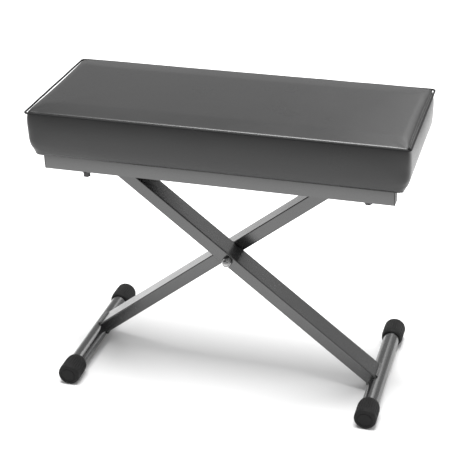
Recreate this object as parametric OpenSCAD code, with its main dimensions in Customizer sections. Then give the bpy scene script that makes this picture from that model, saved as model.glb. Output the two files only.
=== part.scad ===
// Folding scissor-leg bench with an upholstered seat.
// Units are millimetres. +Z is up, the origin is on the floor under the middle of the seat,
// X runs along the seat and -Y is the sitter's side. The front leg falls to the right.

/* [Stance] */
// Leg length from the centre pivot down to the foot bar's axis
lower_arm = 306; // [260:1:360]
// Leg length from the centre pivot up to the crossbar's axis
upper_arm = 262; // [220:1:300]
// Angle of each leg above the floor in the modelled height setting
leg_angle = 38.25; // [30:0.25:56]

/* [Leg tube] */
// Height of the leg tube's section, in the plane of the scissor
leg_h = 20; // [15:1:30]
// Width of the leg tube's section, along Y
leg_w = 40; // [25:1:50]
// Wall of the leg tube
leg_wall = 1.5; // [1:0.1:3]
// Outside corner radius of the leg tube
leg_r = 2; // [1:0.25:4]
// Gap between the two legs
leg_gap = 2; // [1:0.25:5]
// Leg tube left beyond the crossbar's axis
leg_stub = 11; // [10:0.5:14]

/* [Feet] */
// Outside radius of the foot bar
bar_r = 13; // [10:0.5:16]
// Wall of the foot bar
bar_wall = 1.5; // [1:0.1:3]
// Overall length of a foot, rubber caps included
foot_len = 278; // [240:1:340]
// Outside radius of the rubber cap
cap_r = 17.5; // [15:0.5:22]
// Length of the rubber cap
cap_len = 41; // [30:1:55]
// Rubber left between the bar's end and the cap's end face
cap_end = 3.5; // [2:0.5:6]
// Height of the flat worn into the cap where it rests
cap_flat = 0.2; // [0.1:0.05:0.6]
// Grip grooves round each cap
cap_grooves = 28; // [12:2:40]

/* [Crossbars] */
// Outside radius of the round crossbars
cross_r = 8; // [6:0.5:10]
// Wall of the crossbars
cross_wall = 1.5; // [1:0.1:2.5]

/* [Seat frame] */
// Underside of the rails above the floor
rail_z = 358.5; // [320:0.5:400]
// Height of a rail
rail_h = 30; // [20:1:40]
// Width of a rail, along Y
rail_w = 20; // [15:1:30]
// Wall of a rail
rail_wall = 1.5; // [1:0.1:2.5]
// Radius of a rail's outer corners
rail_r = 2; // [0.5:0.1:4]
// Radius of the bow of a rail's outer face
rail_bow = 70; // [40:5:200]
// Thickness of a rail plug's flange
plug_t = 1.5; // [1:0.1:3]
// Length of a rail plug inside the rail
plug_len = 11.5; // [6:0.5:20]
// Left end of the rails, end plug included
rail_x0 = -270; // [-280:1:-240]
// Right end of the rails, end plug included
rail_x1 = 264; // [240:1:280]
// Distance from the middle to a rail's outer face
rail_y = 95; // [80:1:110]
// Thickness of the rack and bracket plates
plate_t = 3; // [2:0.5:5]
// Clear height between a crossbar and the rack's tooth tips
rack_gap = 0.5; // [0.3:0.1:2]
// Depth of a rack notch
notch_d = 5; // [3:0.5:7]

/* [Seat] */
// Length of the seat at its top seam
seat_l = 570; // [500:2:640]
// Depth of the seat at its top seam
seat_d = 234; // [200:2:300]
// Height of the top seam above the floor
seam_z = 457.7; // [420:0.1:500]
// Rise of the seat's crown above the seam
crown = 5.5; // [2:0.5:15]
// Corner radius of the seat
seat_r = 5; // [3:0.5:30]
// Radius of the cover's lower edge, where it is tucked under the board
tuck = 3; // [2:0.5:12]
// Thickness of the cover material
skin = 1.2; // [0.8:0.1:2]
// Radius of the piping
pipe_r = 1.6; // [1:0.1:3]
// Thickness of the seat board
board_t = 15; // [9:1:20]
// Corner radius of the seat board
board_r = 10; // [3:1:20]

/* [Fasteners] */
// Radius of the pivot bolt's shank
pivot_r = 4; // [3:0.5:6]
// Radius of the rail bolts' shank
bolt_r = 2.95; // [2:0.05:4]

/* [Hidden] */
// Node to build; "all" builds every node
pivot_z = cap_r - cap_flat + lower_arm * sin(leg_angle);
foot_x = lower_arm * cos(leg_angle);
foot_z = cap_r - cap_flat;
cross_x = upper_arm * cos(leg_angle);
cross_z = pivot_z + upper_arm * sin(leg_angle);
leg_ya = -leg_gap / 2 - leg_w / 2;
leg_yb = leg_gap / 2 + leg_w / 2;
foot_y = foot_len / 2;
rail_in = rail_y - rail_w;
rail_top = rail_z + rail_h;
board_z = rail_top + 1;
board_top = board_z + board_t;
cross_len = 2 * rail_in - 1;
tip_z = cross_z + cross_r + rack_gap;
notch_r = cross_r + 0.3;
notch_angles = [32.5, 38.25, 44, 50, 56];
rack_x0 = -cross_x + 2 * upper_arm * cos(59);
rack_x1 = 256;
bolt_xy = [[-205, 88], [223.5, 79]];
strap_x = [-241, 245];
strap_w = 22;
band_out = 2;

c_steel = [0.13, 0.13, 0.14];
c_dark = [0.05, 0.05, 0.055];
c_zinc = [0.62, 0.63, 0.64];
c_rubber = [0.04, 0.04, 0.04];
c_plastic = [0.06, 0.06, 0.065];
c_cover = [0.09, 0.09, 0.095];
c_foam = [0.86, 0.82, 0.66];
c_ply = [0.72, 0.56, 0.37];
c_nylon = [0.85, 0.85, 0.82];

// Round bar along Y from y0 to y1 with its axis at x, z
module ybar(r, x, z, y0, y1, fn = 48)
    translate([x, y0, z]) rotate([-90, 0, 0]) cylinder(r = r, h = y1 - y0, $fn = fn);

// Tube along Y
module ytube(r, wall, x, z, y0, y1, fn = 48)
    difference() {
        ybar(r, x, z, y0, y1, fn);
        ybar(r - wall, x, z, y0 - 1, y1 + 1, fn);
    }

// Box given by two corners
module span(a, b) translate(a) cube([b[0] - a[0], b[1] - a[1], b[2] - a[2]]);

// Rounded rectangle block centred in X and Y, from z0 to z1, built from boxes and cylinders
module rblock(l, d, r, z0, z1) {
    h = z1 - z0;
    translate([-l / 2 + r, -d / 2, z0]) cube([l - 2 * r, d, h]);
    translate([-l / 2, -d / 2 + r, z0]) cube([l, d - 2 * r, h]);
    for (sx = [-1, 1], sy = [-1, 1])
        translate([sx * (l / 2 - r), sy * (d / 2 - r), z0]) cylinder(r = r, h = h, $fn = 48);
}

// Section of a block that stands on the X axis with round lower corners
module tuck_section(w, h, t) {
    translate([-w / 2, t]) square([w, h - t]);
    translate([-w / 2 + t, 0]) square([w - 2 * t, h]);
    for (s = [-1, 1]) translate([s * (w / 2 - t), t]) circle(r = t, $fn = 48);
}

// Rounded rectangle block whose lower edge is round all the way, with radius t
module tucked_block(l, d, r, z0, z1, t)
    intersection() {
        rblock(l, d, r, z0, z1);
        translate([-l / 2 - 1, 0, z0]) rotate([90, 0, 90])
            linear_extrude(height = l + 2) tuck_section(d, z1 - z0, t);
        translate([0, d / 2 + 1, z0]) rotate([90, 0, 0])
            linear_extrude(height = d + 2) tuck_section(l, z1 - z0, t);
    }

// Section of a leg, solid, in the XY plane of the tube's own frame
module leg_section(h, w, r) {
    square([h - 2 * r, w], center = true);
    square([h, w - 2 * r], center = true);
    for (sx = [-1, 1], sy = [-1, 1])
        translate([sx * (h / 2 - r), sy * (w / 2 - r)]) circle(r = r, $fn = 24);
}

// Puts a piece drawn along +Z, from the pivot upwards, on a leg; side -1 is the front leg
module on_leg(side, y)
    translate([0, y, pivot_z]) rotate([0, side * (90 - leg_angle), 0]) children();

// Leg tube as solid stock from s0 to s1 along the leg
module leg_stock(side, y, s0, s1, inset = 0)
    on_leg(side, y) translate([0, 0, s0]) linear_extrude(height = s1 - s0)
        leg_section(leg_h - 2 * inset, leg_w - 2 * inset, max(leg_r - inset, 0.5));

module leg(side, y) {
    fx = -side * foot_x;
    cx = side * cross_x;
    difference() {
        leg_stock(side, y, -lower_arm, upper_arm + leg_stub);
        leg_stock(side, y, -lower_arm - 1, upper_arm + leg_stub + 1, leg_wall);
        ybar(bar_r, fx, foot_z, -70, 70, 64);
        ybar(cross_r, cx, cross_z, -70, 70);
        ybar(6, 0, pivot_z, -70, 70);
    }
}

module leg_plug(side, y) {
    on_leg(side, y) {
        translate([0, 0, upper_arm + leg_stub])
            linear_extrude(height = 1.5) leg_section(leg_h, leg_w, leg_r);
        translate([0, 0, upper_arm + leg_stub - 2.5])
            linear_extrude(height = 2.6)
                leg_section(leg_h - 2 * leg_wall - 0.2, leg_w - 2 * leg_wall - 0.2, 0.8);
    }
}

module leg_sleeve(y)
    ytube(6, 6 - pivot_r - 0.05, 0, pivot_z, y - leg_w / 2, y + leg_w / 2);

// Two beads that join a leg to its foot bar
module leg_welds(side, y) {
    fx = -side * foot_x;
    difference() {
        for (s = [-1, 1])
            on_leg(side, y) translate([s * (leg_h / 2 + 0.4), 0, -lower_arm + 9.6])
                rotate([90, 0, 0]) cylinder(r = 2.6, h = leg_w - 3, center = true, $fn = 24);
        leg_stock(side, y, -lower_arm - 5, -lower_arm + 40);
        ybar(bar_r, fx, foot_z, -90, 90, 64);
    }
}

module crossbar(side)
    ytube(cross_r, cross_wall, side * cross_x, cross_z, -cross_len / 2, cross_len / 2);

module foot_bar(side)
    ytube(bar_r, bar_wall, side * foot_x, foot_z, -foot_y + cap_end, foot_y - cap_end, 64);

// Rubber cap on the end of a foot bar; sy -1 is the front end
module foot_cap(side, sy) {
    x = side * foot_x;
    mouth = foot_y - cap_len;
    scale([1, sy, 1]) difference() {
        translate([x, mouth, foot_z]) rotate([-90, 0, 0]) rotate_extrude($fn = 64)
            polygon([[0, 0], [cap_r - 3.4, 0], [cap_r - 2.6, 0.6], [cap_r - 1, 3.2],
                [cap_r - 0.25, 6], [cap_r, 9], [cap_r, cap_len - 2.5],
                [cap_r - 0.8, cap_len - 0.9], [cap_r - 2.6, cap_len], [0, cap_len]]);
        ybar(bar_r + 0.05, x, foot_z, mouth - 1, foot_y - cap_end + 0.05, 64);
        translate([x, foot_y - 0.8, foot_z]) rotate([-90, 0, 0]) difference() {
            cylinder(r = 12.2, h = 2, $fn = 48);
            translate([0, 0, -1]) cylinder(r = 9.8, h = 4, $fn = 48);
        }
        for (i = [0 : cap_grooves - 1])
            rotate_about(x, foot_z, 360 / cap_grooves * (i + 0.5))
                ybar(0.95, x + cap_r + 0.25, foot_z, mouth + 5, foot_y - 8, 12);
        span([x - 30, mouth - 2, -10], [x + 30, foot_y + 2, 0]);
    }
}

module rotate_about(x, z, a)
    translate([x, 0, z]) rotate([0, a, 0]) translate([-x, 0, -z]) children();

module hex(af, h) cylinder(r = af / 2 / cos(30), h = h, $fn = 6);

// Solid bar with a rail's section, from x0 to x1, made smaller all round by inset; the outer
// face is bowed and the outer corners are round; sy -1 is the front rail
module rail_stock(sy, x0, x1, inset = 0) {
    r = max(rail_r - inset, 0.4);
    out = rail_y - inset;
    low = rail_z + inset;
    high = rail_top - inset;
    bow = rail_bow - inset;
    scale([1, sy, 1]) intersection() {
        union() {
            span([x0, rail_in + inset, low], [x1, out - r, high]);
            span([x0, rail_in + inset, low + r], [x1, out, high - r]);
            for (z = [low + r, high - r])
                translate([x0, out - r, z]) rotate([0, 90, 0])
                    cylinder(r = r, h = x1 - x0, $fn = 32);
        }
        translate([x0 - 1, out - bow, (low + high) / 2]) rotate([0, 90, 0])
            cylinder(r = bow, h = x1 - x0 + 2, $fn = 128);
    }
}

// Rail with its bolt holes
module rail(sy)
    difference() {
        rail_stock(sy, rail_x0 + plug_t, rail_x1 - plug_t);
        rail_stock(sy, rail_x0 - 1, rail_x1 + 1, rail_wall);
        for (b = bolt_xy) translate([b[0], sy * b[1], rail_z - 5])
            cylinder(r = 3.3, h = rail_h + 10, $fn = 32);
    }

// Plug in the end of a rail; end -1 is the left end
module rail_plug(sy, end) {
    x0 = end < 0 ? rail_x0 : rail_x1 - plug_t;
    xi = end < 0 ? rail_x0 + plug_t - 0.1 : rail_x1 - plug_t - plug_len;
    rail_stock(sy, x0, x0 + plug_t);
    rail_stock(sy, xi, xi + plug_len + 0.1, rail_wall + 0.1);
}

module strap(x)
    span([x - strap_w / 2, -rail_in, rail_top - 3], [x + strap_w / 2, rail_in, rail_top]);

module pivot_bracket(sy) {
    y0 = sy < 0 ? -rail_in : rail_in - plate_t;
    difference() {
        union() {
            span([-cross_x - 19, y0, cross_z], [-cross_x + 19, y0 + plate_t, rail_top - 3.5]);
            span([-cross_x - 14, y0, rail_z + 0.5], [-cross_x + 14, y0 + plate_t, cross_z + 0.5]);
        }
        ybar(cross_r + 0.06, -cross_x, cross_z, y0 - 1, y0 + plate_t + 1);
    }
}

module height_rack(sy) {
    y0 = sy < 0 ? -rail_in : rail_in - plate_t;
    difference() {
        span([rack_x0, y0, tip_z], [rack_x1, y0 + plate_t, rail_top - 3.5]);
        for (a = notch_angles)
            ybar(notch_r, -cross_x + 2 * upper_arm * cos(a), tip_z + notch_d - notch_r,
                y0 - 1, y0 + plate_t + 1);
    }
}

// Bench-top pieces of the seat
module seat_board() color(c_ply)
    difference() {
        tucked_block(seat_l - 20, seat_d - 20, board_r, board_z, board_top, tuck - skin);
        for (b = bolt_xy, sy = [-1, 1]) translate([b[0], sy * b[1], board_z]) {
            translate([0, 0, -1]) cylinder(r = 4.1, h = board_t + 2, $fn = 32);
            translate([0, 0, board_t - 1.7]) cylinder(r = 10, h = 3, $fn = 32);
        }
    }

// Solid with a crowned top: straight sides up to zt, then a low hull
module crowned(l, d, r, z0, zt, rise) {
    rblock(l, d, r, z0, zt);
    hull() {
        rblock(l, d, r, zt - 0.5, zt);
        rblock(l - 44, d - 36, r, zt, zt + rise * 0.72);
        rblock(l - 190, d - 130, r, zt, zt + rise);
    }
}

module seat_foam() color(c_foam)
    crowned(seat_l - 2.6, seat_d - 2.6, seat_r - 1, board_top + 0.3, seam_z - 1, crown - 0.6);

module seat_top_panel() color(c_cover)
    difference() {
        crowned(seat_l, seat_d, seat_r, seam_z - 0.3, seam_z + skin - 0.3, crown - skin + 0.3);
        crowned(seat_l, seat_d, seat_r, seam_z - 20, seam_z - 0.35, crown - 0.3);
    }

module seat_band() color(c_cover)
    difference() {
        tucked_block(seat_l + band_out, seat_d + band_out, seat_r + 1, board_z - 1.2,
            seam_z - 2.4, tuck);
        tucked_block(seat_l + band_out - 2 * skin, seat_d + band_out - 2 * skin, seat_r,
            board_z - 0.2, seam_z, tuck - skin);
        span([rail_x0 - 2, -rail_y - 2, board_z - 5], [-rail_x0 + 2, rail_y + 2, board_z + 1]);
    }

// Cord sewn into the top seam
module seat_piping() color(c_dark) {
    z = seam_z - 1.35;
    hl = seat_l / 2 + 0.6;
    hd = seat_d / 2 + 0.6;
    r = seat_r + 0.6;
    difference() {
        union() {
            for (s = [-1, 1]) {
                translate([-hl + r, s * hd, z]) rotate([0, 90, 0])
                    cylinder(r = pipe_r, h = 2 * (hl - r), $fn = 16);
                translate([s * hl, -hd + r, z]) rotate([-90, 0, 0])
                    cylinder(r = pipe_r, h = 2 * (hd - r), $fn = 16);
            }
            for (q = [[1, 1, 0], [-1, 1, 90], [-1, -1, 180], [1, -1, 270]])
                translate([q[0] * (hl - r), q[1] * (hd - r), z]) rotate([0, 0, q[2]])
                    rotate_extrude(angle = 90, $fn = 64) translate([r, 0])
                        circle(r = pipe_r, $fn = 16);
        }
        rblock(seat_l, seat_d, seat_r, seam_z - 0.35, seam_z + 4);
        rblock(seat_l + band_out, seat_d + band_out, seat_r + 1, seam_z - 6, seam_z - 2.35);
        rblock(seat_l - 2, seat_d - 2, seat_r - 1, seam_z - 8, seam_z + 4);
    }
}

module dust_cover() color(c_dark)
    difference() {
        span([rail_x0 - 1.5, -rail_y - 1.5, rail_top + 0.1],
            [-rail_x0 + 1.5, rail_y + 1.5, rail_top + 0.8]);
        for (b = bolt_xy, sy = [-1, 1]) translate([b[0], sy * b[1], rail_top - 1])
            cylinder(r = 4, h = 3, $fn = 24);
    }

// One staple, crown down, legs up
module staple(a) rotate([0, 0, a]) {
    translate([-5, -0.6, 0]) cube([10, 1.2, 0.6]);
    for (s = [-5, 4]) translate([s, -0.6, 0]) cube([1, 1.2, 7]);
}

module cover_staples() color(c_zinc) {
    z = board_z - 1.85;
    for (i = [-4 : 4], s = [-1, 1]) translate([i * 60, s * (seat_d / 2 - 13), z]) staple(0);
    for (i = [-1 : 1], s = [-1, 1]) translate([s * (seat_l / 2 - 11.6), i * 60, z]) staple(90);
}

module rail_bolts() color(c_dark)
    for (b = bolt_xy, sy = [-1, 1]) translate([b[0], sy * b[1], 0]) {
        translate([0, 0, rail_z - 8]) hex(10, 6.4);
        translate([0, 0, rail_z - 2]) cylinder(r = bolt_r, h = board_top - 2 - rail_z, $fn = 24);
    }

module rail_washers() color(c_dark)
    for (b = bolt_xy, sy = [-1, 1]) translate([b[0], sy * b[1], rail_z - 1.6])
        difference() {
            cylinder(r = 6, h = 1.6, $fn = 32);
            translate([0, 0, -1]) cylinder(r = 3.2, h = 4, $fn = 32);
        }

module tee_nuts() color(c_zinc)
    for (b = bolt_xy, sy = [-1, 1]) translate([b[0], sy * b[1], 0])
        difference() {
            union() {
                translate([0, 0, board_top - 1.6]) cylinder(r = 9.5, h = 1.5, $fn = 32);
                translate([0, 0, board_top - 9.6]) cylinder(r = 4, h = 8.5, $fn = 32);
            }
            translate([0, 0, board_top - 12]) cylinder(r = 3, h = 14, $fn = 32);
        }

// Pivot hardware
module pivot_bolt() color(c_zinc) {
    ybar(pivot_r, 0, pivot_z, -leg_w - leg_gap / 2 - 8, leg_w + leg_gap / 2 + 2, 48);
    translate([0, leg_w + leg_gap / 2 + 1.6, pivot_z]) rotate([-90, 0, 0]) hex(13, 5.3);
}

module pivot_nut() color(c_zinc) {
    yf = -leg_w - leg_gap / 2 - 1.6;
    difference() {
        union() {
            translate([0, yf, pivot_z]) rotate([90, 0, 0]) hex(13, 6.5);
            translate([0, yf - 6.4, pivot_z]) rotate([90, 0, 0]) rotate_extrude($fn = 48)
                polygon([[0, 0], [6, 0], [6, 1.4], [5.7, 3.2], [4.9, 4.9], [3.6, 6.2],
                    [1.9, 7], [0, 7.2]]);
        }
        ybar(pivot_r + 0.02, 0, pivot_z, -leg_w - leg_gap / 2 - 8.2, 0, 48);
    }
}

module pivot_washers() color(c_zinc)
    for (y = [-leg_w - leg_gap / 2 - 1.6, leg_w + leg_gap / 2 + 0.1])
        ytube(8, 8 - pivot_r - 0.1, 0, pivot_z, y, y + (y < 0 ? 1.6 : 1.5));

module leg_spacer() color(c_nylon)
    ytube(13, 13 - pivot_r - 0.1, 0, pivot_z, -leg_gap / 2, leg_gap / 2 - 0.1);

module front_rail() color(c_steel) rail(-1);
module rear_rail() color(c_steel) rail(1);
module front_rail_left_plug() color(c_plastic) rail_plug(-1, -1);
module front_rail_right_plug() color(c_plastic) rail_plug(-1, 1);
module rear_rail_left_plug() color(c_plastic) rail_plug(1, -1);
module rear_rail_right_plug() color(c_plastic) rail_plug(1, 1);
module left_strap() color(c_steel) strap(strap_x[0]);
module right_strap() color(c_steel) strap(strap_x[1]);
module front_pivot_bracket() color(c_steel) pivot_bracket(-1);
module rear_pivot_bracket() color(c_steel) pivot_bracket(1);
module front_height_rack() color(c_steel) height_rack(-1);
module rear_height_rack() color(c_steel) height_rack(1);
module front_leg() color(c_steel) leg(-1, leg_ya);
module front_leg_crossbar() color(c_steel) crossbar(-1);
module front_leg_top_plug() color(c_plastic) leg_plug(-1, leg_ya);
module front_leg_sleeve() color(c_nylon) leg_sleeve(leg_ya);
module front_leg_welds() color(c_steel) leg_welds(-1, leg_ya);
module right_foot_bar() color(c_steel) foot_bar(1);
module right_front_foot_cap() color(c_rubber) foot_cap(1, -1);
module right_rear_foot_cap() color(c_rubber) foot_cap(1, 1);
module rear_leg() color(c_steel) leg(1, leg_yb);
module rear_leg_crossbar() color(c_steel) crossbar(1);
module rear_leg_top_plug() color(c_plastic) leg_plug(1, leg_yb);
module rear_leg_sleeve() color(c_nylon) leg_sleeve(leg_yb);
module rear_leg_welds() color(c_steel) leg_welds(1, leg_yb);
module left_foot_bar() color(c_steel) foot_bar(-1);
module left_front_foot_cap() color(c_rubber) foot_cap(-1, -1);
module left_rear_foot_cap() color(c_rubber) foot_cap(-1, 1);

seat_top_panel();
seat_band();
seat_piping();
seat_foam();
seat_board();
dust_cover();
cover_staples();
front_rail();
rear_rail();
front_rail_left_plug();
front_rail_right_plug();
rear_rail_left_plug();
rear_rail_right_plug();
left_strap();
right_strap();
front_pivot_bracket();
rear_pivot_bracket();
front_height_rack();
rear_height_rack();
rail_bolts();
rail_washers();
tee_nuts();
front_leg();
front_leg_crossbar();
front_leg_top_plug();
front_leg_sleeve();
front_leg_welds();
right_foot_bar();
right_front_foot_cap();
right_rear_foot_cap();
pivot_bolt();
pivot_nut();
pivot_washers();
leg_spacer();
rear_leg();
rear_leg_crossbar();
rear_leg_top_plug();
rear_leg_sleeve();
rear_leg_welds();
left_foot_bar();
left_front_foot_cap();
left_rear_foot_cap();
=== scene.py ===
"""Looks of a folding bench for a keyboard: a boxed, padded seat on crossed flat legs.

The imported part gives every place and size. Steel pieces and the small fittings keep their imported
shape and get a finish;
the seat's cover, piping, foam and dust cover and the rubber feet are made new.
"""

import logging
import math
from dataclasses import dataclass
from enum import Enum

import bmesh
import bpy
from mathutils import Matrix, Vector, noise


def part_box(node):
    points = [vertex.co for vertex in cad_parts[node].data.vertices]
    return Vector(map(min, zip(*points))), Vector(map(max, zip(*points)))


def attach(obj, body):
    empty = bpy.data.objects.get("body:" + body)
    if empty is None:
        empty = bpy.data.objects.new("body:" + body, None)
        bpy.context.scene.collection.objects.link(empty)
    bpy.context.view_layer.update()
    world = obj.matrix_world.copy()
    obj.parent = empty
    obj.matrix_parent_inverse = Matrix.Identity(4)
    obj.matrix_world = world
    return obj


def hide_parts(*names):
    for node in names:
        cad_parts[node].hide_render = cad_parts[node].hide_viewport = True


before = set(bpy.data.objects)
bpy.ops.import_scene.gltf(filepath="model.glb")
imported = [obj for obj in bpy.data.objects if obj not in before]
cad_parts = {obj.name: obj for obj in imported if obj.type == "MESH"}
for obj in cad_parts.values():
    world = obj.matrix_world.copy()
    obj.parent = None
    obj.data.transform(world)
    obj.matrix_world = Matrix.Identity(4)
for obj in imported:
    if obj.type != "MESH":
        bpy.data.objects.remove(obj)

MM = 0.001
log = logging.getLogger("bench")


class Slot(Enum):
    """The material slots of the pieces made here."""

    LEATHERETTE = "leatherette"
    PIPING = "piping"
    FOAM = "foam"
    NON_WOVEN = "non_woven"
    RUBBER = "rubber"


class Body(Enum):
    """The three parts that move against each other."""

    FRONT_LEG = "front_leg_frame"
    REAR_LEG = "rear_leg_frame"
    SEAT = "seat"


class Wire:
    """A number that varies over a surface, with the usual arithmetic."""

    def __init__(self, graph: "Graph", socket: bpy.types.NodeSocket) -> None:
        """Keeps the socket and the graph that it belongs to."""
        self.graph = graph
        self.socket = socket

    def _maths(self, operation: str, first, second=None) -> "Wire":
        """Adds one Math node and returns its result."""
        values = [first] if second is None else [first, second]
        return self.graph.node("ShaderNodeMath", {"operation": operation}, dict(enumerate(values)))

    def __add__(self, other) -> "Wire":
        """self + other."""
        return self._maths("ADD", self, other)

    __radd__ = __add__

    def __mul__(self, other) -> "Wire":
        """self * other."""
        return self._maths("MULTIPLY", self, other)

    __rmul__ = __mul__

    def __sub__(self, other) -> "Wire":
        """self - other."""
        return self._maths("SUBTRACT", self, other)

    def __rsub__(self, other) -> "Wire":
        """other - self."""
        return self._maths("SUBTRACT", other, self)

    def __truediv__(self, other) -> "Wire":
        """self / other."""
        return self._maths("DIVIDE", self, other)

    def __rtruediv__(self, other) -> "Wire":
        """other / self."""
        return self._maths("DIVIDE", other, self)

    def __pow__(self, other) -> "Wire":
        """self ** other."""
        return self._maths("POWER", self, other)

    def step(self, low: float, high: float) -> "Wire":
        """A soft step.

        Args:
            low: value where the step starts, at 0.
            high: value where it ends, at 1.

        Returns:
            A number from 0 to 1.
        """
        settings = {"interpolation_type": "SMOOTHSTEP"}
        inputs = {"Value": self, "From Min": low, "From Max": high}
        return self.graph.node("ShaderNodeMapRange", settings, inputs)


class Graph:
    """A material's node tree, built from its shader backwards."""

    def __init__(self, name: str) -> None:
        """Makes an empty material with a Principled shader and an output."""
        self.material = bpy.data.materials.new(name)
        self.material.use_nodes = True
        self.tree = self.material.node_tree
        self.tree.nodes.clear()
        self.shader = self.tree.nodes.new("ShaderNodeBsdfPrincipled")
        output = self.tree.nodes.new("ShaderNodeOutputMaterial")
        self.tree.links.new(self.shader.outputs["BSDF"], output.inputs["Surface"])

    def node(self, kind: str, settings: dict | None = None, inputs: dict | None = None,
             result: int | str = 0) -> Wire:
        """Adds any node.

        Args:
            kind: the node's type.
            settings: properties set before the sockets, such as an operation.
            inputs: socket name or number, and its value or Wire.
            result: the output that is returned.

        Returns:
            The output as a Wire.
        """
        made = self.tree.nodes.new(kind)
        for key, value in (settings or {}).items():
            setattr(made, key, value)
        for key, value in (inputs or {}).items():
            if isinstance(value, Wire):
                self.tree.links.new(value.socket, made.inputs[key])
            else:
                made.inputs[key].default_value = value
        return Wire(self, made.outputs[result])

    def place(self) -> Wire:
        """The point on the piece, in metres."""
        return self.node("ShaderNodeTexCoord", result="Object")

    def stretched(self, vector: Wire, scale: tuple) -> Wire:
        """The vector scaled along each axis."""
        return self.node("ShaderNodeMapping", {}, {"Vector": vector, "Scale": scale})

    def noise(self, vector: Wire, scale: float, detail: float = 2.0, rough: float = 0.5) -> Wire:
        """Cloudy noise around 0.5."""
        inputs = {"Vector": vector, "Scale": scale, "Detail": detail, "Roughness": rough}
        return self.node("ShaderNodeTexNoise", {}, inputs)

    def cells(self, vector: Wire, scale: float, feature: str = "F1", spread: float = 1.0) -> Wire:
        """Distance in a pattern of cells."""
        inputs = {"Vector": vector, "Scale": scale, "Randomness": spread}
        return self.node("ShaderNodeTexVoronoi", {"feature": feature}, inputs)

    def colour(self, share: Wire, low: tuple, high: tuple) -> Wire:
        """A colour between low and high, by a share from 0 to 1."""
        settings = {"data_type": "RGBA"}
        inputs = {0: share, 6: (*low, 1.0), 7: (*high, 1.0)}
        return self.node("ShaderNodeMix", settings, inputs, result=2)

    def bump(self, height: Wire, depth: float) -> Wire:
        """A surface normal from a height of 0 to 1.

        Args:
            height: the height.
            depth: real height of a full step, in metres.

        Returns:
            The normal.
        """
        inputs = {"Height": height, "Distance": depth, "Strength": 1.0}
        return self.node("ShaderNodeBump", {}, inputs)

    def set(self, **sockets) -> None:
        """Sets or links the shader's sockets; underscores stand for the spaces in their names."""
        for key, value in sockets.items():
            socket = self.shader.inputs[key.replace("_", " ")]
            if isinstance(value, Wire):
                self.tree.links.new(value.socket, socket)
            else:
                socket.default_value = value


def grey(level: float, warmth: float = 0.0) -> tuple:
    """A near-neutral colour; warmth above 0 leans to red, below 0 to blue."""
    return (level * (1 + warmth), level, level * (1 - warmth))


class Finish:
    """A material that is made once and then shared."""

    made: dict = {}

    def material(self) -> bpy.types.Material:
        """The finish's material, made at its first use."""
        key = repr(self)
        if key not in Finish.made:
            graph = Graph(type(self).__name__)
            self.draw(graph)
            Finish.made[key] = graph.material
        return Finish.made[key]

    def draw(self, graph: Graph) -> None:
        """Fills the graph; each finish has its own."""
        raise NotImplementedError


@dataclass(frozen=True)
class PowderCoat(Finish):
    """Semi-gloss black powder coat with a fine orange peel."""

    level: float = 0.006
    gloss: float = 0.2
    peel: float = 3.0 * MM
    depth: float = 0.0008 * MM

    def draw(self, graph: Graph) -> None:
        """Orange peel, slight cloudiness and a trace of handling marks."""
        place = graph.place()
        peel = graph.noise(place, 1 / self.peel, 1.5)
        cloud = graph.noise(place, 14.0, 3.0).step(0.35, 0.7)
        rub = graph.noise(graph.stretched(place, (9.0, 60.0, 60.0)), 6.0, 5.0, 0.65).step(0.55, 0.8)
        graph.set(
            Base_Color=graph.colour(cloud, grey(self.level, -0.02), grey(self.level * 1.25, -0.03)),
            Roughness=self.gloss + 0.05 * cloud + 0.05 * rub + 0.03 * peel,
            Normal=graph.bump(peel, self.depth),
            IOR=1.9,
        )


@dataclass(frozen=True)
class Leatherette(Finish):
    """Black artificial leather with a fine pebbled grain."""

    level: float = 0.006
    gloss: float = 0.27
    grain: float = 1.3 * MM
    depth: float = 0.014 * MM
    ior: float = 1.5

    def draw(self, graph: Graph) -> None:
        """Pebbles with creases between them, broken up by soft noise; the creases are painted darker as
        shade, and soft noise varies the tone.
        """
        place = graph.place()
        drift = graph.noise(place, 260.0, 2.0)
        shifted = graph.node(
            "ShaderNodeVectorMath", {"operation": "MULTIPLY_ADD"},
            {0: graph.node("ShaderNodeTexNoise", {}, {"Vector": place, "Scale": 260.0}, result=1),
             1: (1.2 * MM, 1.2 * MM, 1.2 * MM), 2: place})
        crease = graph.cells(shifted, 1 / self.grain, "DISTANCE_TO_EDGE").step(0.0, 0.22)
        pore = graph.noise(place, 2200.0, 2.0)
        cloud = graph.noise(place, 9.0, 4.0).step(0.3, 0.75)
        height = crease * (0.75 + 0.25 * drift) + 0.12 * pore
        # painted shade: the base colour darkens in the creases between pebbles, mixed half and half with
        # a random cloudy tone
        painted_crease_shade_and_tone = crease * 0.5 + cloud * 0.5
        graph.set(
            Base_Color=graph.colour(painted_crease_shade_and_tone, grey(self.level * 0.75, -0.02), grey(self.level * 1.15)),
            Roughness=self.gloss + 0.1 * (1 - crease) + 0.06 * cloud,
            Normal=graph.bump(height, self.depth),
            IOR=self.ior,
        )


@dataclass(frozen=True)
class Rubber(Finish):
    """Matt moulded rubber."""

    level: float = 0.007
    gloss: float = 0.62

    def draw(self, graph: Graph) -> None:
        """A fine matt texture with a little dust in the hollows."""
        place = graph.place()
        fine = graph.noise(place, 1500.0, 2.0)
        dust = graph.noise(place, 90.0, 5.0, 0.6).step(0.5, 0.8)
        graph.set(
            Base_Color=graph.colour(dust, grey(self.level), grey(self.level * 1.8, 0.03)),
            Roughness=self.gloss + 0.1 * dust + 0.06 * fine,
            Normal=graph.bump(fine, 0.015 * MM),
            IOR=1.3,
        )


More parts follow.
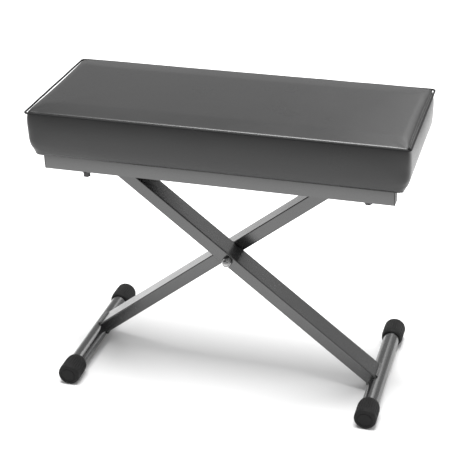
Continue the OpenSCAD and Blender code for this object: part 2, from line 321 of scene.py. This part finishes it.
@dataclass(frozen=True)
class BlackPlastic(Finish):
    """Matt black moulding."""

    level: float = 0.022
    gloss: float = 0.48

    def draw(self, graph: Graph) -> None:
        """A spark-eroded mould texture."""
        place = graph.place()
        fine = graph.noise(place, 1800.0, 1.0)
        cloud = graph.noise(place, 120.0, 2.0)
        graph.set(
            Base_Color=graph.colour(cloud, grey(self.level * 0.8), grey(self.level * 1.2)),
            Roughness=self.gloss + 0.08 * fine,
            Normal=graph.bump(fine, 0.01 * MM),
        )


@dataclass(frozen=True)
class BlackOxide(Finish):
    """Blackened bolts and washers."""

    level: float = 0.05
    gloss: float = 0.38

    def draw(self, graph: Graph) -> None:
        """A dark metal with small bright scuffs."""
        place = graph.place()
        scuff = graph.noise(place, 600.0, 6.0, 0.7).step(0.58, 0.72)
        turned = graph.noise(graph.stretched(place, (1.0, 1.0, 8.0)), 900.0, 1.0)
        graph.set(
            Base_Color=graph.colour(scuff, grey(self.level), grey(self.level * 3)),
            Metallic=0.85,
            Roughness=self.gloss + 0.12 * turned - 0.08 * scuff,
            Normal=graph.bump(turned, 0.006 * MM),
        )


@dataclass(frozen=True)
class Zinc(Finish):
    """Bright zinc plate."""

    level: float = 0.4
    gloss: float = 0.26

    def draw(self, graph: Graph) -> None:
        """Crystalline clouds and fine turning marks."""
        place = graph.place()
        flakes = graph.cells(place, 420.0)
        marks = graph.noise(graph.stretched(place, (1.0, 12.0, 1.0)), 500.0, 2.0)
        graph.set(
            Base_Color=graph.colour(flakes, grey(self.level * 0.8, -0.01), grey(self.level, 0.01)),
            Metallic=1.0,
            Roughness=self.gloss + 0.12 * marks,
            Normal=graph.bump(marks, 0.006 * MM),
        )


@dataclass(frozen=True)
class Plywood(Finish):
    """Raw birch plywood: a figured face, and plies along its edges."""

    plies: float = 1.6 * MM

    def draw(self, graph: Graph) -> None:
        """Long grain on the faces, bands in the thickness."""
        place = graph.place()
        grain = graph.noise(graph.stretched(place, (4.0, 70.0, 70.0)), 6.0, 6.0, 0.6)
        height = graph.node("ShaderNodeSeparateXYZ", {}, {0: place}, result="Z")
        ply = graph.node("ShaderNodeMath", {"operation": "PINGPONG"}, {0: height, 1: self.plies})
        share = 0.6 * grain + 0.4 * (ply / self.plies)
        graph.set(
            Base_Color=graph.colour(share.step(0.2, 0.8), (0.36, 0.22, 0.11), (0.62, 0.46, 0.28)),
            Roughness=0.62 + 0.15 * grain,
            Normal=graph.bump(grain, 0.05 * MM),
        )


@dataclass(frozen=True)
class OpenFoam(Finish):
    """Cream open-cell foam."""

    cell: float = 0.9 * MM

    def draw(self, graph: Graph) -> None:
        """Small open cells and a slightly yellowed skin."""
        place = graph.place()
        cell = graph.cells(place, 1 / self.cell)
        age = graph.noise(place, 18.0, 3.0).step(0.3, 0.7)
        graph.set(
            Base_Color=graph.colour(age, (0.78, 0.72, 0.52), (0.84, 0.8, 0.64)),
            Roughness=0.9 - 0.05 * cell,
            Normal=graph.bump(1 - cell, 0.25 * MM),
        )


@dataclass(frozen=True)
class NonWoven(Finish):
    """Black dust cover cloth, bonded in a grid of small dots."""

    pitch: float = 2.2 * MM

    def draw(self, graph: Graph) -> None:
        """Loose fibres pressed flat at each bond."""
        place = graph.place()
        fibre = graph.noise(graph.stretched(place, (1.0, 3.0, 1.0)), 700.0, 6.0, 0.7)
        bond = graph.cells(place, 1 / self.pitch, spread=0.0).step(0.12, 0.3)
        graph.set(
            Base_Color=graph.colour(fibre * bond, grey(0.010), grey(0.03)),
            Roughness=0.95 - 0.25 * (1 - bond),
            Normal=graph.bump(bond * 0.6 + fibre * 0.4, 0.12 * MM),
        )


@dataclass(frozen=True)
class Nylon(Finish):
    """Black nylon, as the spacer between the legs is."""

    level: float = 0.01

    def draw(self, graph: Graph) -> None:
        """A smooth surface with faint flow marks."""
        flow = graph.noise(graph.place(), 260.0, 3.0)
        graph.set(
            Base_Color=graph.colour(flow, grey(self.level * 0.85, 0.04), grey(self.level, 0.03)),
            Roughness=0.35 + 0.2 * flow,
            Normal=graph.bump(flow, 0.01 * MM),
        )


STEEL = PowderCoat()
COVER = Leatherette()
CORD = Leatherette(level=0.008, gloss=0.6, grain=0.8 * MM, depth=0.02 * MM, ior=1.3)
RUBBER = Rubber()
PLASTIC = BlackPlastic()
OXIDE = BlackOxide()
ZINC = Zinc()


class Maker:
    """What every sub-assembly can do: turn a bmesh into a piece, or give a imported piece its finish."""

    body: Body

    def make(self, name: str, bm: bmesh.types.BMesh, finish: Finish, slot: Slot,
             replaces: tuple = (), sharp: float = 40.0) -> bpy.types.Object:
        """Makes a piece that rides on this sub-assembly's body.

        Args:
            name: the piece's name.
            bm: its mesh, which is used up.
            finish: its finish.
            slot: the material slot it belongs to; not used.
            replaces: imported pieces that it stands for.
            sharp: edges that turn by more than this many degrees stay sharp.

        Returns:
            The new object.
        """
        bmesh.ops.remove_doubles(bm, verts=bm.verts, dist=0.01 * MM)
        bmesh.ops.recalc_face_normals(bm, faces=bm.faces)
        mesh = bpy.data.meshes.new(name)
        bm.to_mesh(mesh)
        bm.free()
        mesh.shade_smooth()
        mesh.set_sharp_from_angle(angle=math.radians(sharp))
        piece = bpy.data.objects.new(name, mesh)
        bpy.context.scene.collection.objects.link(piece)
        mesh.materials.append(finish.material())
        if replaces:
            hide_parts(*replaces)
        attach(piece, self.body.value)
        log.info("%s: %d faces, %s", name, len(mesh.polygons), type(finish).__name__)
        return piece

    def dress(self, finish: Finish, *nodes: str) -> None:
        """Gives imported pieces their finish.

        Args:
            finish: the finish.
            nodes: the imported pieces' names.
        """
        for node in nodes:
            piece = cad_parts[node]
            piece.data.materials.clear()
            piece.data.materials.append(finish.material())
            log.info("%s: packed shape, %s", node, type(finish).__name__)


def lathe(bm: bmesh.types.BMesh, profile: list, centre: Vector, toward: Vector, steps: int) -> None:
    """Turns a profile into a closed round shape.

    Args:
        bm: where the shape is made.
        profile: (radius, distance along the axis) points, from the axis back to the axis.
        centre: the point on the axis at distance 0.
        toward: the axis' direction.
        steps: faces round the axis.
    """
    side = toward.orthogonal().normalized()
    verts = [bm.verts.new(centre + side * r + toward * s) for r, s in profile]
    edges = [bm.edges.new(pair) for pair in zip(verts, verts[1:])]
    bmesh.ops.spin(bm, geom=verts + edges, cent=centre, axis=toward, angle=math.tau,
                   steps=steps, use_merge=True)
    bmesh.ops.remove_doubles(bm, verts=bm.verts, dist=0.005 * MM)


@dataclass
class Seat(Maker):
    """The padded seat: a cover sewn from a top panel and a band with piping between them,
    drawn over foam on a board, and stapled underneath."""

    body: Body = Body.SEAT
    skin: float = 1.2 * MM
    corner: float = 5.5 * MM
    foot_corner: float = 13 * MM
    bulge: float = 2.0 * MM
    lean: float = 5.0 * MM
    lean_height: float = 18.5 * MM
    voxel: float = 5.5 * MM
    pressure: float = 4.0
    swell: float = 1.6 * MM
    piping_sides: int = 12
    curl: float = 2.4 * MM
    pucker: float = 1.1 * MM
    pucker_reach: float = 22 * MM
    crease: float = 0.35 * MM
    crease_gap: float = 1.7 * MM
    crease_reach: float = 26 * MM
    pleat_drop: float = 2.2 * MM
    pleat_width: float = 9 * MM
    ripple: float = 0.25 * MM
    rim: float = 2.2 * MM

    def __post_init__(self) -> None:
        """Works the seat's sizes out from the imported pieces."""
        low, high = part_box("seat_band")
        self.half_l, self.half_d, self.foot = high.x, high.y, low.z
        low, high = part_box("seat_top_panel")
        self.seam, self.top = low.z, high.z
        low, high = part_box("seat_piping")
        self.pipe_r = (high.z - low.z) / 2
        self.pipe_z = (high.z + low.z) / 2
        self.pipe_l, self.pipe_d = high.x - self.pipe_r, high.y - self.pipe_r
        low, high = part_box("seat_board")
        self.board_l, self.board_d, self.board_top = high.x, high.y, high.z
        low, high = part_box("front_rail")
        self.opening = -low.y + 2 * MM

    def inset(self, x: float, y: float) -> float:
        """How far a point lies inside the seat's round-cornered outline."""
        dx = self.pipe_l - self.corner - abs(x)
        dy = self.pipe_d - self.corner - abs(y)
        if dx < 0 and dy < 0:
            return self.corner - math.hypot(dx, dy)
        return self.corner + min(dx, dy)

    def crown(self, x: float, y: float) -> float:
        """Height of the unfilled top panel above the seam."""
        inside = max(self.inset(x, y), 0.0)
        near = 1 - math.exp(-inside / (4 * MM))
        far = 1 - math.exp(-inside / (45 * MM))
        return (self.top - self.seam) * (0.42 * near + 0.28 * far)

    def blank(self) -> bmesh.types.BMesh:
        """The cover before it is filled: a box with round corners."""
        bm = bmesh.new()
        bmesh.ops.create_cube(bm, size=1.0)
        half_l, half_d = self.half_l - 1.6 * MM, self.half_d - 1.6 * MM
        height = self.seam - self.foot
        bmesh.ops.scale(bm, vec=(2 * half_l, 2 * half_d, height), verts=bm.verts)
        bmesh.ops.translate(bm, vec=(0, 0, self.foot + height / 2), verts=bm.verts)
        upright = [e for e in bm.edges if abs(e.verts[0].co.z - e.verts[1].co.z) > height / 2]
        bmesh.ops.bevel(bm, geom=upright, offset=self.corner, segments=6, profile=0.5,
                        affect="EDGES", material=-1)
        return bm

    def remesh(self, bm: bmesh.types.BMesh) -> bpy.types.Object:
        """A copy of the blank in even squares, with the crown raised."""
        mesh = bpy.data.meshes.new("filling")
        bm.to_mesh(mesh)
        bm.free()
        blank = bpy.data.objects.new("filling", mesh)
        bpy.context.scene.collection.objects.link(blank)
        squares = blank.modifiers.new("Squares", "REMESH")
        squares.mode = "VOXEL"
        squares.voxel_size = self.voxel
        self.settle(blank)
        for v in blank.data.vertices:
            if v.co.z > self.seam - 2 * MM:
                v.co.z = self.seam + self.crown(v.co.x, v.co.y)
            v.co = self.shaped(v.co)
        return blank

    def shaped(self, co: Vector) -> Vector:
        """Gives the band its section: bowed over the foam, then leaning in over the board's edge.

        Args:
            co: a point on the box.

        Returns:
            Its place on the cover.
        """
        share = min(max((co.z - self.foot) / (self.seam - self.foot), 0.0), 1.0)
        widest = 0.6
        off = (share - widest) / (widest if share < widest else 1 - widest)
        down = max((self.foot + self.lean_height - co.z) / self.lean_height, 0.0)
        out = self.bulge * (1 - off * off) - self.lean * min(down, 1.0)
        x = co.x * (1 + out / self.half_l)
        y = co.y * (1 + out / self.half_d)
        radius = self.corner + (self.foot_corner - self.corner) * min(2.2 * (1 - share), 1.0)
        half_l, half_d = self.half_l - 1.6 * MM + out, self.half_d - 1.6 * MM + out
        past = Vector((abs(x) - half_l + radius, abs(y) - half_d + radius))
        if past.x > 0 and past.y > 0 and past.length > radius:
            past *= radius / past.length
            x = math.copysign(half_l - radius + past.x, x)
            y = math.copysign(half_d - radius + past.y, y)
        return Vector((x, y, co.z))

    @staticmethod
    def settle(piece: bpy.types.Object) -> None:
        """Applies all of a piece's modifiers to its mesh."""
        graph = bpy.context.evaluated_depsgraph_get()
        done = bpy.data.meshes.new_from_object(piece.evaluated_get(graph))
        piece.modifiers.clear()
        piece.data = done

    def held(self, co: Vector) -> float:
        """How firmly the seam, the tucked edge and the board hold the cover at a point."""
        on_seam = abs(co.z - self.seam) < 3 * MM and self.inset(co.x, co.y) < 4 * MM
        under = co.z < self.foot + self.lean_height * 0.6
        return 1.0 if on_seam or under else 0.0

    def fill(self, pad: bpy.types.Object) -> None:
        """Blows the cover up as the foam does, then caps how far each point went."""
        start = [v.co.copy() for v in pad.data.vertices]
        group = pad.vertex_groups.new(name="held")
        group.add([i for i, co in enumerate(start) if self.held(co)], 1.0, "REPLACE")
        cloth = pad.modifiers.new("Filling", "CLOTH")
        cloth.settings.quality = 6
        cloth.settings.mass = 0.2
        cloth.settings.tension_stiffness = 12
        cloth.settings.compression_stiffness = 12
        cloth.settings.bending_stiffness = 1.0
        cloth.settings.vertex_group_mass = "held"
        cloth.settings.use_pressure = True
        cloth.settings.uniform_pressure_force = self.pressure
        cloth.settings.effector_weights.gravity = 0
        for number in range(1, 21):
            bpy.context.scene.frame_set(number)
        self.settle(pad)
        for v, old in zip(pad.data.vertices, start):
            move = v.co - old
            if move.length > self.swell:
                v.co = old + move * (self.swell / move.length)
        bpy.context.scene.frame_set(1)

    def wrinkle(self, co: Vector) -> Vector:
        """The little folds where the cover is pulled round its corners.

        Args:
            co: a point on the filled cover.

        Returns:
            How far that point moves.
        """
        sx, sy = math.copysign(1, co.x), math.copysign(1, co.y)
        corner = Vector((sx * self.pipe_l, sy * self.pipe_d, self.seam))
        away = co - corner
        ray = math.atan2(abs(away.y), abs(away.x) + 1e-9)
        seed = 1.7 * sx + 0.9 * sy
        move = Vector((0.0, 0.0, 0.0))
        if co.z > self.seam:
            fade = math.exp(-((away.length / self.pucker_reach) ** 2))
            reach = fade * min(away.length / (4 * MM), 1)
            move.z -= self.pucker * reach * (0.5 + 0.5 * math.cos(13 * ray + seed))
        else:
            low = (co.z - self.foot) / (self.seam - self.foot)
            near = math.exp(-((math.hypot(away.x, away.y) / self.crease_reach) ** 2))
            along = co.z + 0.25 * (abs(away.x) - abs(away.y))
            fold = math.sin(along / self.crease_gap + seed)
            out = Vector((sx, sy, 0)).normalized()
            move += out * (self.crease * near * fold * math.exp(-((low - 0.12) / 0.16) ** 2))
            pleat = Vector((abs(co.x) - self.board_l + 7 * MM, abs(co.y) - self.board_d + 8 * MM))
            if low < 0.06:
                move.z -= self.pleat_drop * math.exp(-((pleat.length / self.pleat_width) ** 2))
        wave = noise.noise(Vector((co.x * 14, co.y * 14, co.z * 30 + seed)))
        ripple = self.ripple * wave
        away_from_seam = min(abs(co.z - self.seam) / (6 * MM), 1)
        flat = Vector((co.x / self.half_l, co.y / self.half_d, 0))
        if co.z < self.seam:
            move += flat * (ripple * away_from_seam)
        return move

    def panel(self, source: bpy.types.Object, above: bool) -> bmesh.types.BMesh:
        """Cuts the top panel or the band out of the filled cover.

        Args:
            source: the filled cover.
            above: True for the top panel, False for the band.

        Returns:
            The panel as an open sheet.
        """
        bm = bmesh.new()
        bm.from_mesh(source.data)
        cut = self.seam - 0.3 * MM
        everything = bm.verts[:] + bm.edges[:] + bm.faces[:]
        bmesh.ops.bisect_plane(bm, geom=everything, plane_co=(0, 0, cut), plane_no=(0, 0, 1),
                               clear_inner=above, clear_outer=not above)
        if not above:
            inside = [f for f in bm.faces if self.in_opening(f.calc_center_median())]
            bmesh.ops.delete(bm, geom=inside, context="FACES")
        return bm

    def in_opening(self, co: Vector) -> bool:
        """Whether a point lies where the turned-under edge leaves the board bare."""
        under = co.z < self.foot + 3 * MM
        return under and abs(co.x) < self.board_l - 12 * MM and abs(co.y) < self.opening

    def cover(self) -> None:
        """Fills the cover and cuts it at its seam into the top panel and the band."""
        pad = self.remesh(self.blank())
        self.fill(pad)
        smooth = pad.modifiers.new("Smooth", "SUBSURF")
        smooth.levels = smooth.render_levels = 1
        self.settle(pad)
        for v in pad.data.vertices:
            if v.co.z < self.foot + self.rim:
                v.co.z = self.foot
            v.co += self.wrinkle(v.co)
        for name, above in (("seat_top_panel", True), ("seat_band", False)):
            piece = self.make(f"cover_{name[5:]}", self.panel(pad, above), COVER,
                              Slot.LEATHERETTE, (name,), 80.0)
            thick = piece.modifiers.new("Thickness", "SOLIDIFY")
            thick.thickness = self.skin
            thick.offset = -1
            self.settle(piece)
        bpy.data.objects.remove(pad)

    def foam(self) -> None:
        """The foam block, soft-edged and a little crowned, with its cut faces."""
        low, high = self.board_top + 0.3 * MM, self.seam
        bm = bmesh.new()
        bmesh.ops.create_cube(bm, size=1.0)
        size = (2 * self.board_l + 2 * MM, 2 * self.board_d + 2 * MM, high - low)
        bmesh.ops.scale(bm, vec=size, verts=bm.verts)
        bmesh.ops.translate(bm, vec=(0, 0, (low + high) / 2), verts=bm.verts)
        bmesh.ops.bevel(bm, geom=bm.edges, offset=7 * MM, segments=3, profile=0.5,
                        affect="EDGES", material=-1)
        bmesh.ops.subdivide_edges(bm, edges=bm.edges, cuts=5, use_grid_fill=True)
        for v in bm.verts:
            if v.co.z > high - 4 * MM:
                v.co.z += self.crown(v.co.x, v.co.y) * 0.7 - 1.5 * MM
        piece = self.make("foam_block", bm, OpenFoam(), Slot.FOAM, ("seat_foam",))

    def piping(self) -> None:
        """The piping: a cord sewn round the seam, its ends turned up at one corner."""
        bm = bmesh.new()
        x, y, r = self.pipe_l, self.pipe_d, self.corner
        start = Vector((0, -y, self.pipe_z))
        ring = bmesh.ops.create_circle(bm, segments=self.piping_sides, radius=self.pipe_r,
                                       matrix=Matrix.Translation(start)
                                       @ Matrix.Rotation(math.pi / 2, 4, "Y"))
        edges = list({e: None for v in ring["verts"] for e in v.link_edges})
        centres = [(x - r, -y + r), (x - r, y - r), (-x + r, y - r), (-x + r, -y + r)]
        runs = [x - r, 2 * (y - r), 2 * (x - r), 2 * (y - r), x - r]
        heading = Vector((1, 0, 0))
        for run, centre in zip(runs, centres + [None]):
            for _ in range(24):
                edges = self.pull(bm, edges, heading * (run / 24))
            if centre is None:
                break
            ends = list({v: None for e in edges for v in e.verts})
            turned = bmesh.ops.spin(bm, geom=edges + ends, cent=(*centre, self.pipe_z),
                                    axis=(0, 0, 1), angle=math.pi / 2, steps=10)
            edges = [g for g in turned["geom_last"] if isinstance(g, bmesh.types.BMEdge)]
            heading = Matrix.Rotation(math.pi / 2, 3, "Z") @ heading
        for v in bm.verts:
            v.co.z += 0.3 * MM * noise.noise(v.co * 22)
        self.make("seam_piping", bm, CORD, Slot.PIPING, ("seat_piping",), 60.0)
        self.piping_end()

    def piping_end(self) -> None:
        """The piping's spare end, curled over at the front right corner."""
        bm = bmesh.new()
        centre = Vector((self.pipe_l - 1.5 * MM, -self.pipe_d + 1.5 * MM, self.pipe_z + 0.6 * MM))
        start = Matrix.Translation(centre + Vector((-self.curl, 0, 0)))
        ring = bmesh.ops.create_circle(bm, segments=self.piping_sides, radius=self.pipe_r * 0.85,
                                       matrix=start)
        edges = list({e: None for v in ring["verts"] for e in v.link_edges})
        turned = bmesh.ops.spin(bm, geom=edges + ring["verts"], cent=centre, axis=(0, 1, 0),
                                angle=math.radians(170), steps=14)
        last = [g for g in turned["geom_last"] if isinstance(g, bmesh.types.BMEdge)]
        for rim in (edges, last):
            face = bmesh.ops.contextual_create(bm, geom=rim)["faces"]
            bmesh.ops.inset_region(bm, faces=face, thickness=0.5 * MM, depth=0.4 * MM)
        turn = Matrix.Rotation(math.radians(-45), 3, "Z")
        bmesh.ops.rotate(bm, verts=bm.verts, cent=centre, matrix=turn)
        self.make("seam_piping_end", bm, CORD, Slot.PIPING)

    @staticmethod
    def pull(bm: bmesh.types.BMesh, edges: list, step: Vector) -> list:
        """Draws a ring of edges on by one step and returns the new ring."""
        drawn = bmesh.ops.extrude_edge_only(bm, edges=edges)["geom"]
        bmesh.ops.translate(bm, vec=step, verts=[g for g in drawn if isinstance(g, bmesh.types.BMVert)])
        return [g for g in drawn if isinstance(g, bmesh.types.BMEdge)]

    def dust_cover(self) -> None:
        """The thin cloth under the seat, slightly slack between its staples."""
        low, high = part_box("dust_cover")
        width, length = high.y - low.y, high.x - low.x
        bm = bmesh.new()
        bmesh.ops.create_grid(bm, x_segments=110, y_segments=40, size=0.5)
        bmesh.ops.scale(bm, vec=(length, width, 1), verts=bm.verts)
        bmesh.ops.translate(bm, vec=(0, 0, (low.z + high.z) / 2), verts=bm.verts)
        for v in bm.verts:
            edge = min(length / 2 - abs(v.co.x), width / 2 - abs(v.co.y))
            slack = min(edge / (20 * MM), 1)
            v.co.z += 0.2 * MM * slack * noise.noise(Vector((v.co.x * 30, v.co.y * 30, 3)))
        piece = self.make("under_cloth", bm, NonWoven(), Slot.NON_WOVEN, ("dust_cover",))
        thick = piece.modifiers.new("Thickness", "SOLIDIFY")
        thick.thickness = 0.3 * MM
        thick.offset = 0
        self.settle(piece)

    def frame_pieces(self) -> None:
        """Gives the rails, straps, racks and fasteners under the seat their finishes."""
        self.dress(STEEL, "front_rail", "rear_rail", "left_strap", "right_strap",
                   "front_pivot_bracket", "rear_pivot_bracket", "front_height_rack",
                   "rear_height_rack")
        self.dress(PLASTIC, *(f"{rail}_rail_{end}_plug" for rail in ("front", "rear")
                              for end in ("left", "right")))
        self.dress(OXIDE, "rail_bolts", "rail_washers")
        self.dress(ZINC, "tee_nuts", "cover_staples")
        self.dress(Plywood(), "seat_board")

    def build(self) -> None:
        """Makes and dresses the whole seat."""
        self.cover()
        self.piping()
        self.foam()
        self.dust_cover()
        self.frame_pieces()


@dataclass
class FootCaps(Maker):
    """The two ribbed rubber caps of one foot bar."""

    body: Body
    side: str
    ribs: int = 28
    groove: float = 0.9 * MM
    steps_per_rib: int = 6

    def profile(self, length: float, radius: float, bore: float) -> list:
        """The cap's outline from its mouth to its end, as (radius, distance from the mouth)."""
        wall_end = length - 5 * MM
        outside = [(14.1, 0.0), (14.9, 0.6), (15.8, 1.8), (16.5, 3.4), (17.1, 6.0), (17.5, 10.5)]
        shaft = [(17.5, 10.5 + 2.2 * i) for i in range(1, 12)]
        end = [(17.3, 37.4), (16.9, 39.0), (16.2, 40.2), (15.2, 40.9), (13.8, 41.0), (12.3, 41.0),
               (11.9, 40.3), (10.2, 40.3), (9.8, 41.0), (5.0, 41.0)]
        scale = length / (41 * MM)
        grow = radius / (17.5 * MM)
        rim = [(r * MM * grow, s * MM * scale) for r, s in outside + shaft + end]
        return [(0, wall_end), (bore, wall_end), (bore, 0.4 * MM), *rim, (0, length)]

    def cap(self, node: str) -> None:
        """Makes one cap in the place of a packed one.

        Args:
            node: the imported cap.
        """
        low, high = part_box(node)
        bar_low, bar_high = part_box(f"{self.side}_foot_bar")
        front = high.y < 0
        toward = Vector((0, -1 if front else 1, 0))
        mouth = high.y if front else low.y
        centre = Vector(((low.x + high.x) / 2, mouth, (bar_low.z + bar_high.z) / 2))
        radius = (high.x - low.x) / 2
        bore = (bar_high.z - bar_low.z) / 2 + 0.05 * MM
        bm = bmesh.new()
        lathe(bm, self.profile(high.y - low.y, radius, bore), centre, toward,
              self.ribs * self.steps_per_rib)
        for v in bm.verts:
            along = (v.co - centre).dot(toward)
            out = v.co - centre - toward * along
            if out.length > radius * 0.86:
                share = min((along - 1.5 * MM) / (3 * MM), (36.5 * MM - along) / (5 * MM), 1.0)
                angle = math.atan2(out.z, out.x)
                cut = (0.5 + 0.5 * math.cos(self.ribs * angle)) ** 1.5
                v.co -= out.normalized() * (self.groove * cut * max(share, 0.0))
            v.co.z = max(v.co.z, low.z)
        self.make(f"{node[:-4]}_shoe", bm, RUBBER, Slot.RUBBER, (node,), 50.0)

    def build(self) -> None:
        """Makes both caps."""
        self.cap(f"{self.side}_front_foot_cap")
        self.cap(f"{self.side}_rear_foot_cap")


@dataclass
class LegFrame(Maker):
    """A leg with its crossbar, top plug, pivot sleeve, welds and foot bar."""

    body: Body
    leg: str
    side: str

    def build(self) -> None:
        """Dresses the steel and makes the rubber caps."""
        self.dress(STEEL, self.leg, f"{self.leg}_crossbar", f"{self.leg}_welds",
                   f"{self.side}_foot_bar")
        self.dress(PLASTIC, f"{self.leg}_top_plug")
        self.dress(ZINC, f"{self.leg}_sleeve")
        FootCaps(self.body, self.side).build()


@dataclass
class Pivot(Maker):
    """The bolt, cap nut, washers and spacer where the legs cross."""

    body: Body = Body.FRONT_LEG

    def build(self) -> None:
        """Dresses the pivot's pieces."""
        self.dress(ZINC, "pivot_nut", "pivot_bolt")
        self.dress(OXIDE, "pivot_washers")
        self.dress(Nylon(), "leg_spacer")


@dataclass(frozen=True)
class Lamp:
    """A soft box: a plain area light that points at the bench."""

    name: str
    place: tuple
    width: float
    height: float
    power: float

    def hang(self, aim: Vector) -> None:
        """Hangs the lamp.

        Args:
            aim: the point that it faces.
        """
        light = bpy.data.lights.new(self.name, "AREA")
        light.shape = "RECTANGLE"
        light.size, light.size_y = self.width, self.height
        light.energy = self.power
        lamp = bpy.data.objects.new(self.name, light)
        lamp.location = self.place
        lamp.rotation_mode = "QUATERNION"
        lamp.rotation_quaternion = (aim - Vector(self.place)).to_track_quat("-Z", "Y")
        lamp.visible_camera = False
        bpy.context.scene.collection.objects.link(lamp)


@dataclass
class Studio:
    """Pale floor, pale surround, soft boxes overhead and behind, and the camera."""

    floor_size: float = 24.0
    floor_grey: float = 0.8
    sky_grey: float = 0.7
    lens: float = 103.6
    camera_place: tuple = (0.511, -1.771, 1.192)
    camera_turn: tuple = (16.31, -27.31, -0.93)
    lamps: tuple = (
        Lamp("overhead", (0.0, 0.0, 2.8), 1.6, 1.6, 160),
        Lamp("back", (0.8, 2.2, 2.4), 2.0, 1.4, 25),
    )

    def lay_floor(self) -> None:
        """Lays a wide, plain, pale floor."""
        bm = bmesh.new()
        bmesh.ops.create_grid(bm, x_segments=1, y_segments=1, size=self.floor_size / 2)
        bmesh.ops.translate(bm, vec=(0, 0, -0.2 * MM), verts=bm.verts)
        mesh = bpy.data.meshes.new("floor")
        bm.to_mesh(mesh)
        bm.free()
        floor = bpy.data.objects.new("floor", mesh)
        bpy.context.scene.collection.objects.link(floor)
        paper = bpy.data.materials.new("Paper")
        paper.use_nodes = True
        shader = paper.node_tree.nodes["Principled BSDF"]
        shader.inputs["Base Color"].default_value = (*grey(self.floor_grey), 1)
        shader.inputs["Roughness"].default_value = 0.9
        mesh.materials.append(paper)

    def hang_sky(self) -> None:
        """Surrounds the studio with even pale light."""
        world = bpy.data.worlds.new("Studio")
        bpy.context.scene.world = world
        world.use_nodes = True
        sky = world.node_tree.nodes["Background"]
        sky.inputs["Color"].default_value = (*grey(self.sky_grey), 1)

    def set_camera(self) -> None:
        """Places the camera."""
        yaw, pitch, roll = (math.radians(a) for a in self.camera_turn)
        data = bpy.data.cameras.new("camera")
        data.lens = self.lens
        data.sensor_width = 36.0
        data.clip_end = 60.0
        camera = bpy.data.objects.new("camera", data)
        camera.location = self.camera_place
        camera.rotation_mode = "QUATERNION"
        turn = (Matrix.Rotation(yaw, 3, "Z") @ Matrix.Rotation(math.pi / 2 + pitch, 3, "X")
                @ Matrix.Rotation(roll, 3, "Z"))
        camera.rotation_quaternion = turn.to_quaternion()
        bpy.context.scene.collection.objects.link(camera)
        bpy.context.scene.camera = camera

    def build(self) -> None:
        """Sets the whole studio up."""
        self.lay_floor()
        self.hang_sky()
        self.set_camera()
        for lamp in self.lamps:
            lamp.hang(Vector((0, 0, 0.25)))
        bpy.context.scene.view_settings.view_transform = "Standard"


def main() -> None:
    """Builds the bench and its studio, in order."""
    logging.basicConfig(level=logging.INFO, format="%(message)s")
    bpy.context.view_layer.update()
    Studio().build()
    Seat().build()
    LegFrame(Body.FRONT_LEG, "front_leg", "right").build()
    LegFrame(Body.REAR_LEG, "rear_leg", "left").build()
    Pivot().build()


if __name__ == "__main__":
    main()
